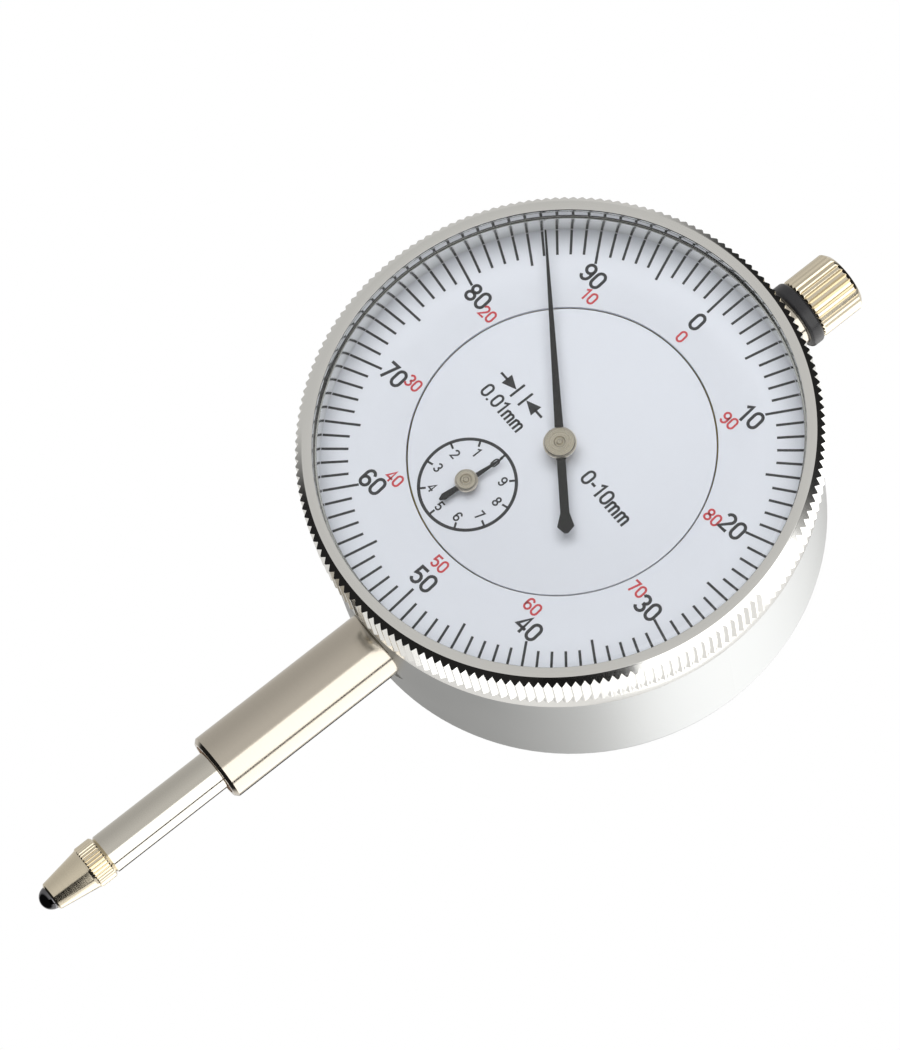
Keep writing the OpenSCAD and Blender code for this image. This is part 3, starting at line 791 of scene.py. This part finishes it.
def material_for(slot):
    """The finished material for one of the record's slots, made the first time that it is asked for."""
    key = "of_" + slot
    if key in bpy.context.scene and bpy.data.materials.get(bpy.context.scene[key]):
        return bpy.data.materials[bpy.context.scene[key]]
    finishes = bpy.context.scene.indicator_finishes
    makers = {
        "satin_chrome": lambda: satin_chrome(finishes.chrome),
        "case_silver": lambda: case_lacquer(finishes.case),
        "nickel": lambda: bright_nickel("Bright_nickel_plate", finishes.nickel),
        "warm_nickel": lambda: bright_nickel("Warm_nickel_plate", finishes.warm),
        "hardened_steel": lambda: ground_steel(finishes.steel),
        "ball_steel": lambda: lapped_ball(finishes.ball),
        "hub_nickel": lambda: turned_hub("Nickelled_hub", finishes.hub, DIAL),
        "counter_hub_nickel": lambda: turned_hub("Nickelled_counter_hub", finishes.hub, COUNTER),
        "brass": lambda: machined_brass(finishes.brass),
        "plate_brass": lambda: grained_plate(finishes.plate),
        "bronze": lambda: sintered_bronze(finishes.bronze),
        "black_rubber": lambda: moulded_rubber(finishes.rubber),
        "dial_white": lambda: dial_enamel(finishes.enamel),
        "black_ink": lambda: printed_ink("Black_printed_ink", finishes.ink),
        "red_ink": lambda: printed_ink("Red_printed_ink", finishes.red),
        "hand_black": lambda: blackened_brass(finishes.hand),
        "crystal_clear": lambda: clear_acrylic(finishes.crystal),
        "spring_steel": lambda: drawn_wire("Drawn_spring_wire", finishes.wire),
        "blued_spring": lambda: drawn_wire("Blued_spring_strip", finishes.blued),
        "screw_steel": lambda: screw_steel(finishes.screw),
    }
    made = makers[slot]()
    bpy.context.scene[key] = made.name
    return made


def dress(*nodes):
    """Gives CAD nodes, whose shape is kept, the finish of their own slot."""
    slots = {row["node"]: row["material_slot"] for row in frame["record"]["subparts"]}
    for node in nodes:
        for holder in NODES[node].material_slots:
            holder.material = material_for(slots[node])


# ---- operators ----

# The camera: its place in metres, the ways that it looks
# and that its right side lies, and its focal length in millimetres on a 36 mm sensor
CAMERA_PLACE = (0.18026, -0.47441, -0.05003)
CAMERA_AHEAD = Vector((-0.36103, 0.92074, 0.14795))
CAMERA_RIGHT = Vector((0.61417, 0.11537, 0.7807))
CAMERA_LENS = 157.7


class INDICATOR_OT_stage(bpy.types.Operator):
    """Sets the camera, the floor, the soft lights and the white surroundings."""

    bl_idname = "indicator.stage"
    bl_label = "Stage"

    def execute(self, context):
        scene = context.scene
        data = bpy.data.cameras.new("Camera")
        data.sensor_width = 36
        data.lens = CAMERA_LENS
        data.clip_start, data.clip_end = 0.01, 20
        camera = bpy.data.objects.new("Camera", data)
        ahead = CAMERA_AHEAD.normalized()
        up = CAMERA_RIGHT.cross(ahead).normalized()
        turn = Matrix((CAMERA_RIGHT, up, -ahead)).transposed().to_4x4()
        camera.matrix_world = Matrix.Translation(CAMERA_PLACE) @ turn
        scene.collection.objects.link(camera)
        scene.camera = camera
        scene.view_settings.view_transform = "Standard"

        self.paper_floor(scene)
        self.surroundings(scene)
        # Soft boxes, each by the way it lies from the dial: azimuth from the front to the right, elevation,
        # half its spread across and up, all in degrees, its brightness, and whether it shows in reflections
        for name, azimuth, elevation, across, up, brightness, shows in (
                ("right", 61.5, 12, 29.5, 30, 1.08, True),
                ("back_right", 131, 15, 33, 30, 0.98, True),
                ("fill", -18, 18, 28, 28, 3.05, False)):
            self.soft_box(scene, name, azimuth, elevation, across, up, brightness, shows)
        # Black flags: in the gap between the soft boxes, behind, and under the right-hand box
        self.flag(scene, "flag_gap", 94.5, 12, 4, 32)
        self.flag(scene, "flag_behind", 186, 2, 14, 8)
        self.flag(scene, "flag_under", 62, -32, 26, 14)
        return {"FINISHED"}

    def card(self, wide, tall, level):
        """A flat rectangle, given by half its width and half its height."""
        corners = [(-wide, -tall, level), (wide, -tall, level), (wide, tall, level), (-wide, tall, level)]
        return mesh_of(corners, [(0, 1, 2, 3)])

    def paper_floor(self, scene):
        """A plain pale floor below the contact point, which metal does not mirror."""
        half, z = 1.5, CAD_BOX[0].z - 0.03
        mesh = self.card(half, half, z)
        floor = bpy.data.objects.new("floor", mesh)
        floor.visible_glossy = False
        floor.visible_shadow = False
        scene.collection.objects.link(floor)
        paper = bpy.data.materials.new("White_backdrop_paper")
        paper.use_nodes = True
        shader = paper.node_tree.nodes["Principled BSDF"]
        shader.inputs["Base Color"].default_value = (0.86, 0.86, 0.86, 1)
        shader.inputs["Roughness"].default_value = 0.9
        mesh.materials.append(paper)

    def surroundings(self, scene):
        """White to the camera; to everything else a grey room, dark overhead and underfoot."""
        world = bpy.data.worlds.new("Studio")
        scene.world = world
        world.use_nodes = True
        tree = world.node_tree
        tree.nodes.clear()
        way = add(tree, "ShaderNodeTexCoord").outputs["Generated"]
        parts = add(tree, "ShaderNodeSeparateXYZ", {0: way})

        def fade(way, start, end, low=0.0, high=1.0):
            return add(tree, "ShaderNodeMapRange", {
                "Value": parts.outputs[way], "From Min": start, "From Max": end, "To Min": low,
                "To Max": high}).outputs[0]

        # dark below and above, a little brighter behind the object than in front, and dimmer to the left
        lit = maths(tree, "MULTIPLY", fade("Z", -0.62, -0.42), fade("Z", 0.82, 0.66))
        lit = maths(tree, "MULTIPLY", lit, fade("Y", -0.6, 0.95, 0.62, 0.80))
        least = 0.015
        strength = maths(tree, "MULTIPLY_ADD", lit, fade("X", -1.0, 0.1, 0.72, 1.0), least)
        seen = add(tree, "ShaderNodeBackground", {"Color": (1, 1, 1, 1), "Strength": 1.0})
        room = add(tree, "ShaderNodeBackground", {
            "Color": (*hex_colour("FFFDFA"), 1), "Strength": strength})
        path = add(tree, "ShaderNodeLightPath")
        both = add(tree, "ShaderNodeMixShader", {
            0: path.outputs["Is Camera Ray"], 1: room.outputs[0], 2: seen.outputs[0]})
        add(tree, "ShaderNodeOutputWorld", {"Surface": both.outputs[0]})

    def facing_dial(self, azimuth, elevation, distance):
        """A place at a distance from the dial, turned so that its -Z faces it."""
        a, e = radians(azimuth), radians(elevation)
        way = Vector((sin(a) * cos(e), -cos(a) * cos(e), sin(e)))
        return Matrix.Translation(DIAL + way * distance) @ way.to_track_quat("Z", "Y").to_matrix().to_4x4()

    def soft_box(self, scene, name, azimuth, elevation, across, up, brightness, shows):
        """A rectangular light that faces the dial, with its brightness as the radiance of its front."""
        distance = 0.9
        wide, tall = (2 * distance * math.tan(radians(a)) for a in (across, up))
        data = bpy.data.lights.new(name, "AREA")
        data.shape = "RECTANGLE"
        data.size, data.size_y = wide, tall
        data.energy = brightness * pi * wide * tall
        light = bpy.data.objects.new(name, data)
        light.matrix_world = self.facing_dial(azimuth, elevation, distance)
        light.visible_camera = False
        light.visible_glossy = shows
        scene.collection.objects.link(light)

    def flag(self, scene, name, azimuth, elevation, across, up):
        """A black card that shows only in reflections."""
        distance = 0.8
        wide, tall = (distance * math.tan(radians(a)) for a in (across, up))
        mesh = self.card(wide, tall, 0)
        cloth = bpy.data.objects.new(name, mesh)
        cloth.matrix_world = self.facing_dial(azimuth, elevation, distance)
        cloth.visible_camera = cloth.visible_diffuse = cloth.visible_shadow = False
        scene.collection.objects.link(cloth)
        black = bpy.data.materials.new("Black_flag_cloth")
        black.use_nodes = True
        shader = black.node_tree.nodes["Principled BSDF"]
        shader.inputs["Base Color"].default_value = (0.002, 0.002, 0.002, 1)
        shader.inputs["Specular IOR Level"].default_value = 0
        mesh.materials.append(black)


class INDICATOR_OT_bezel(bpy.types.Operator):
    """Builds the bezel, with its straight knurl and smooth front ring."""

    bl_idname = "indicator.bezel"
    bl_label = "Bezel"

    def execute(self, context):
        sizes = context.scene.indicator_bezel
        root = KNURL_R - sizes.depth
        ring = KNURL_R - sizes.ring_step
        bore = CRYSTAL_R + 0.05 * MM
        wall = bore - 0.3 * MM
        skirt = OUTER_R + 0.05 * MM
        knurl_front, knurl_back = BEZEL_FRONT - 0.9 * MM, BEZEL_BACK + 2.45 * MM
        # the cone from the front ring runs through the teeth, down to their roots
        foot = knurl_front + sizes.depth
        crest = [(root, knurl_back), (KNURL_R, knurl_back + 0.25 * MM), (KNURL_R, knurl_front), (root, foot)]
        smooth = rounded([
            (root, foot, 0), (ring, knurl_front + sizes.ring_step, 0.08 * MM),
            (ring - 0.1 * MM, BEZEL_FRONT - 0.03 * MM, 0.05 * MM), (bore + 0.03 * MM, BEZEL_FRONT, 0.04 * MM),
            (bore, BEZEL_FRONT - 0.2 * MM, 0),
            (bore, CRYSTAL_BACK - 0.05 * MM, 0), (wall, CRYSTAL_BACK - 0.1 * MM, 0.06 * MM),
            (wall, DIAL_FRONT + 0.05 * MM, 0),
            (skirt, DIAL_FRONT + 0.05 * MM, 0), (skirt, DIAL_FRONT - 1.1 * MM, 0),
            (skirt + 0.3 * MM, DIAL_FRONT - 1.15 * MM, 0), (skirt + 0.3 * MM, DIAL_FRONT - 1.65 * MM, 0),
            (skirt, DIAL_FRONT - 1.7 * MM, 0), (skirt, BEZEL_BACK, 0.08 * MM), (root, BEZEL_BACK, 0.12 * MM),
            (root, knurl_back, 0)])
        crest_share = 0.16
        shape = fluted(smooth, crest, root, sizes.teeth, crest_share)
        piece("bezel", shape, facing(DIAL), [material_for("satin_chrome")], "bezel_group",
              radians(24))
        return {"FINISHED"}


class INDICATOR_OT_crystal(bpy.types.Operator):
    """Builds the clear crystal with its rounded shoulder."""

    bl_idname = "indicator.crystal"
    bl_label = "Crystal"

    def execute(self, context):
        shoulder = context.scene.indicator_bezel.shoulder
        profile = rounded([(0, CRYSTAL_FRONT, 0), (CRYSTAL_R, CRYSTAL_FRONT, shoulder),
                           (CRYSTAL_R, CRYSTAL_BACK, 0.05 * MM), (0, CRYSTAL_BACK, 0)], 8)
        shape = joined([(turned(profile, even(240), False), 0)])
        piece("crystal", shape, facing(DIAL), [material_for("crystal_clear")], "bezel_group")
        return {"FINISHED"}


class INDICATOR_OT_outer_dial(bpy.types.Operator):
    """Builds the dial that turns with the bezel, with its ticks and its black and red figures."""

    bl_idname = "indicator.outer_dial"
    bl_label = "Outer dial"

    def execute(self, context):
        sizes = context.scene.indicator_dial
        inner = INNER_R + 0.2 * MM
        section = rounded([(inner, DIAL_FRONT, 0.05 * MM), (OUTER_R, DIAL_FRONT, 0), (OUTER_R, OUTER_BACK, 0),
                           (inner, OUTER_BACK, 0)], 2)
        disc = turned(section, even(240), True)
        level = DIAL_FRONT - sizes.ink
        ticks = grown(graduations(), bpy.data.meshes.new("empty"), {
            "Count": sizes.divisions, "Outer radius": sizes.tick_outer, "Short radius": sizes.tick_short,
            "Long radius": sizes.tick_long, "Width": sizes.tick_width, "Thickness": 2 * sizes.ink})
        ticks.transform(Matrix.Translation((0, 0, DIAL_FRONT)))
        parts = [(disc, 0), (ticks, 1)]
        for tenth in range(10):
            angle = 2 * pi * tenth / 10
            black = str(10 * tenth)
            red = str(100 - 10 * tenth) if tenth else "0"
            for text, radius, height, number in ((black, sizes.figure_r, sizes.figure_height, 1),
                                                 (red, sizes.red_r, sizes.red_height, 2)):
                x, y = at_clock(radius, angle)
                parts += [(mesh, number) for mesh in lettering(text, x, y, height, level, 2 * sizes.ink)]
        piece("outer_dial", joined(parts), facing(DIAL, sizes.turn),
              [material_for(s) for s in ("dial_white", "black_ink", "red_ink")], "bezel_group")
        return {"FINISHED"}


class INDICATOR_OT_inner_dial(bpy.types.Operator):
    """Builds the fixed inner dial, with the counter's ring, its figures and the value of a division."""

    bl_idname = "indicator.inner_dial"
    bl_label = "Inner dial"

    def execute(self, context):
        sizes = context.scene.indicator_dial
        sheet_back = INNER_FRONT - 0.4 * MM
        level, thick = INNER_FRONT - sizes.ink, 2 * sizes.ink
        disc = turned(rounded([
            (0.9 * MM, INNER_FRONT, 0), (INNER_R, INNER_FRONT, 0.05 * MM), (INNER_R, sheet_back, 0),
            (0.9 * MM, sheet_back, 0)], 2), even(240), True)
        parts = [(disc, 0)]
        foot_r, foot_top = 0.8 * MM, sheet_back + 0.1 * MM
        for x, y in ((11 * MM, -9 * MM), (-11 * MM, 9 * MM)):
            section = [(0, foot_top), (foot_r, foot_top), (foot_r, INNER_BACK), (0, INNER_BACK)]
            foot = turned(section, even(32), False)
            foot.transform(Matrix.Translation((x, y, 0)))
            parts.append((foot, 0))
        cx, cy = COUNTER.x, COUNTER.z - DIAL.z
        line, radius = sizes.counter_line, sizes.counter_r
        circle = [(cx + radius * cos(a), cy + radius * sin(a)) for a in even(96)]
        parts.append((inked(circle, line, True, level, thick), 1))
        # the counter reads backwards: its figures run anticlockwise
        for number, angle in enumerate(even(10)):
            start, end, middle = ((cx + r * sin(-angle), cy + r * cos(angle))
                                  for r in (radius - 0.8 * MM, radius, radius - 1.5 * MM))
            parts.append((inked([start, end], 0.24 * MM, False, level, thick), 1))
            parts += [(m, 1) for m in lettering(str(number), *middle, 1.2 * MM, level, thick)]
        parts += [(m, 1) for m in lettering("0.01mm", -11.5 * MM, -1.7 * MM, 1.75 * MM, level, thick, False)]
        parts += [(m, 1) for m in lettering("0-10mm", 3.9 * MM, 0.2 * MM, 1.9 * MM, level, thick, False)]
        parts += [(m, 1) for m in self.division_arrows(level, thick)]
        piece("inner_dial", joined(parts), facing(DIAL),
              [material_for(s) for s in ("dial_white", "black_ink")], "case")
        return {"FINISHED"}

    def division_arrows(self, level, thick):
        """Two arrows that face each other over the bars of one division."""
        y, bar_half, stroke = 0.75 * MM, 1.05 * MM, 0.28 * MM
        made = []
        for bar, side in ((-8.75 * MM, -1), (-7.35 * MM, 1)):
            made.append(inked([(bar, y - bar_half), (bar, y + bar_half)], stroke, False, level, thick))
            shaft = [(bar + side * 1.6 * MM, y), (bar + side * 2.9 * MM, y)]
            made.append(inked(shaft, stroke, False, level, thick))
            head = [(bar + side * 0.15 * MM, y), (bar + side * 1.9 * MM, y + 0.75 * MM),
                    (bar + side * 1.9 * MM, y - 0.75 * MM)]
            corners = [(x, z, level + h) for h in (0, thick) for x, z in head]
            made.append(mesh_of(corners, [(0, 1, 2), (5, 4, 3), (0, 3, 4, 1), (1, 4, 5, 2), (2, 5, 3, 0)]))
        return made


class INDICATOR_OT_hands(bpy.types.Operator):
    """Builds both hands, with bevelled edges, and their turned hubs."""

    bl_idname = "indicator.hands"
    bl_label = "Hands and hubs"

    def execute(self, context):
        edge = context.scene.indicator_parts.hand_edge
        black = material_for("hand_black")
        bevelled_copy("main_hand", edge, black)
        bevelled_copy("counter_hand", edge * 0.75, black)
        self.hub("main_hub", DIAL, "centre_arbor", material_for("hub_nickel"), 0.35 * MM)
        self.hub("counter_hub", COUNTER, "counter_arbor", material_for("counter_hub_nickel"), 0)
        return {"FINISHED"}

    def hub(self, node, centre, body, material, collar):
        """A domed hub that stands on its hand, with the arbor's riveted end in the middle."""
        low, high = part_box(node)
        outer = (high.x - low.x) / 2
        front, back = -low.y, -high.y
        seat = back + collar + (0.15 * MM if collar else 0)
        bore = 0.5 * MM
        profile = rounded([
            (0, front + 0.02 * MM, 0), (0.3 * MM, front, 0.1 * MM), (0.36 * MM, front - 0.16 * MM, 0.04 * MM),
            (0.56 * MM, front - 0.16 * MM, 0.04 * MM), (0.62 * MM, front, 0.05 * MM),
            (outer - 0.2 * MM, front, 0.14 * MM), (outer, front - 0.26 * MM, 0.1 * MM),
            (outer, seat, 0.03 * MM), (bore, seat, 0)], 4)
        parts = [(turned(profile, even(96), False), 0)]
        if collar:
            ring = [(bore, back + collar), (1.2 * MM, back + collar), (1.2 * MM, back), (bore, back)]
            parts.append((turned(ring, even(64), True), 0))
        piece(node, joined(parts), facing(centre), [material], body)


class INDICATOR_OT_case(bpy.types.Operator):
    """Finishes the case, the back cover, the stem and both bushes, and builds the bumper ring."""

    bl_idname = "indicator.case"
    bl_label = "Case and stem"

    def execute(self, context):
        dress("case_body", "back_cover", "stem", "lower_bush", "upper_bush", "cover_screws")
        low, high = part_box("bumper_ring")
        base, top = low.z - DIAL.z, high.z - DIAL.z
        outer = high.x
        neck_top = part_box("upper_bush")[1].z - DIAL.z
        bore, spindle_bore = 3.22 * MM, 2.7 * MM
        profile = rounded([
            (bore, base, 0.05 * MM), (outer, base, 0.45 * MM), (outer, top, 0.4 * MM),
            (spindle_bore, top, 0.1 * MM),
            (spindle_bore, neck_top + 0.05 * MM, 0), (bore, neck_top + 0.05 * MM, 0)], 6)
        shape = joined([(turned(profile, even(128), True), 0)])
        piece("bumper_ring", shape, upright(), [material_for("black_rubber")], "case")
        return {"FINISHED"}


class INDICATOR_OT_spindle(bpy.types.Operator):
    """Finishes the spindle and its ball, and builds the fluted lifting cap and the contact point."""

    bl_idname = "indicator.spindle"
    bl_label = "Spindle, cap and contact point"

    def execute(self, context):
        sizes = context.scene.indicator_parts
        dress("spindle", "guide_pin", "contact_ball")
        self.lifting_cap(sizes)
        self.contact_point(sizes)
        return {"FINISHED"}

    def lifting_cap(self, sizes):
        """The cap, with flutes from its open base to its chamfer and a plain end."""
        low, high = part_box("lifting_cap")
        outer, base, top = high.x, low.z - DIAL.z, high.z - DIAL.z
        root = outer - sizes.cap_depth
        chamfer = 0.6 * MM
        share = sizes.cap_depth / chamfer
        crest = [(root, base), (outer - 0.05 * MM, base + 0.12 * MM), (outer, base + 0.3 * MM),
                 (outer, top - chamfer), (root, top - chamfer * (1 - share))]
        thread = 1.27 * MM
        smooth = rounded([
            (root, top - chamfer * (1 - share), 0), (outer - chamfer, top - 0.06 * MM, 0.2 * MM),
            (0, top, 0)])
        floor = base + 3.8 * MM
        inside = rounded([(0, floor, 0), (thread, floor, 0), (thread, base, 0.1 * MM), (root, base, 0)])
        crest_share = 0.42
        shape = fluted(smooth, crest, root, sizes.cap_flutes, crest_share)
        shape.from_mesh(turned(inside, flute_angles(sizes.cap_flutes, crest_share), False))
        piece("lifting_cap", shape, upright(), [material_for("warm_nickel")], "spindle_group",
              radians(28))

    def contact_point(self, sizes):
        """The point: threaded shank, fluted collar, a neck and a polished cone with the ball's seat."""
        low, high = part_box("contact_point")
        tip, collar_r = low.z - DIAL.z, high.x
        spindle_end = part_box("spindle")[0].z - DIAL.z
        shank_top, shank_r = high.z - DIAL.z, 1.25 * MM
        root = collar_r - sizes.collar_depth
        collar_top, collar_low = spindle_end - 0.1 * MM, spindle_end - 2.3 * MM
        crest = [(root, collar_low), (collar_r, collar_low + 0.15 * MM), (collar_r, collar_top - 0.15 * MM),
                 (root, collar_top)]
        ball_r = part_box("contact_ball")[1].x
        cone_low = tip + 0.2 * MM
        above = rounded([
            (root, collar_top, 0), (root - 0.1 * MM, spindle_end - 0.02 * MM, 0),
            (shank_r, spindle_end - 0.02 * MM, 0), (shank_r, shank_top, 0.15 * MM), (0, shank_top, 0)])
        below = rounded([
            (0, tip + 0.9 * MM, 0), (ball_r - 0.2 * MM, tip + 0.3 * MM, 0),
            (ball_r + 0.02 * MM, tip, 0.01 * MM), (ball_r + 0.3 * MM, cone_low, 0.1 * MM),
            (root - 0.06 * MM, collar_low - 0.25 * MM, 0.05 * MM), (root, collar_low, 0)])
        crest_share = 0.45
        shape = fluted(above, crest, root, sizes.collar_flutes, crest_share)
        shape.from_mesh(turned(below, flute_angles(sizes.collar_flutes, crest_share), False))
        piece("contact_point", shape, upright(), [material_for("warm_nickel")], "spindle_group",
              radians(28))


class INDICATOR_OT_movement(bpy.types.Operator):
    """Finishes the plates, arbors and gears inside, and winds the return spring."""

    bl_idname = "indicator.movement"
    bl_label = "Movement"

    def execute(self, context):
        dress("main_plate", "main_plate_screws", "pillars", "front_plate", "pillar_screws", "pinion_bridge",
              "bridge_posts", "bridge_screws", "guide_rail", "spring_post", "bezel_spring", "hairspring",
              "hairspring_stud", "dial_ring", "rack_pinion", "counter_gear", "centre_pinion", "takeup_arbor",
              "takeup_gear", "hairspring_collet")
        sizes = context.scene.indicator_parts
        low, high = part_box("return_spring")
        centre = (low + high) / 2
        wire = sizes.spring_wire / 2
        coil = (high.x - low.x) / 2 - wire
        tall = high.z - low.z - 2 * wire
        mesh = grown(wound_wire(), bpy.data.meshes.new("empty"), {
            "Turns": float(sizes.spring_turns), "Coil radius": coil, "Wire radius": wire, "Height": tall})
        place = Matrix.Translation((centre.x, centre.y, low.z + wire))
        spring = piece("return_spring", joined([(mesh, 0)]), place, [material_for("spring_steel")], None)
        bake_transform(spring)
        return {"FINISHED"}


# ---- add-on ----

OPERATORS = (INDICATOR_OT_stage, INDICATOR_OT_case, INDICATOR_OT_bezel, INDICATOR_OT_outer_dial,
             INDICATOR_OT_inner_dial, INDICATOR_OT_hands, INDICATOR_OT_crystal, INDICATOR_OT_spindle,
             INDICATOR_OT_movement)
GROUPS = {"indicator_bezel": INDICATOR_PG_bezel, "indicator_dial": INDICATOR_PG_dial,
          "indicator_parts": INDICATOR_PG_parts, "indicator_finishes": INDICATOR_PG_finishes}


class INDICATOR_PT_panel(bpy.types.Panel):
    """Lists the pieces to build and the sizes and colours that they use."""

    bl_idname = "INDICATOR_PT_panel"
    bl_label = "Dial Indicator"
    bl_space_type = "VIEW_3D"
    bl_region_type = "UI"
    bl_category = "Dial Indicator"

    def draw(self, context):
        for operator in OPERATORS:
            self.layout.operator(operator.bl_idname)
        for attribute, group in GROUPS.items():
            box = self.layout.box()
            box.label(text=group.__doc__)
            for name in group.__annotations__:
                box.prop(getattr(context.scene, attribute), name)


def register():
    for kind in (*GROUPS.values(), *OPERATORS, INDICATOR_PT_panel):
        bpy.utils.register_class(kind)
    for attribute, group in GROUPS.items():
        setattr(bpy.types.Scene, attribute, PointerProperty(type=group))


def unregister():
    for attribute in GROUPS:
        delattr(bpy.types.Scene, attribute)
    for kind in (INDICATOR_PT_panel, *reversed(OPERATORS), *GROUPS.values()):
        bpy.utils.unregister_class(kind)


def main():
    """Registers the add-on and builds every piece in order."""
    register()
    for operator in OPERATORS:
        group, name = operator.bl_idname.split(".")
        getattr(getattr(bpy.ops, group), name)()


if __name__ == "__main__":
    main()
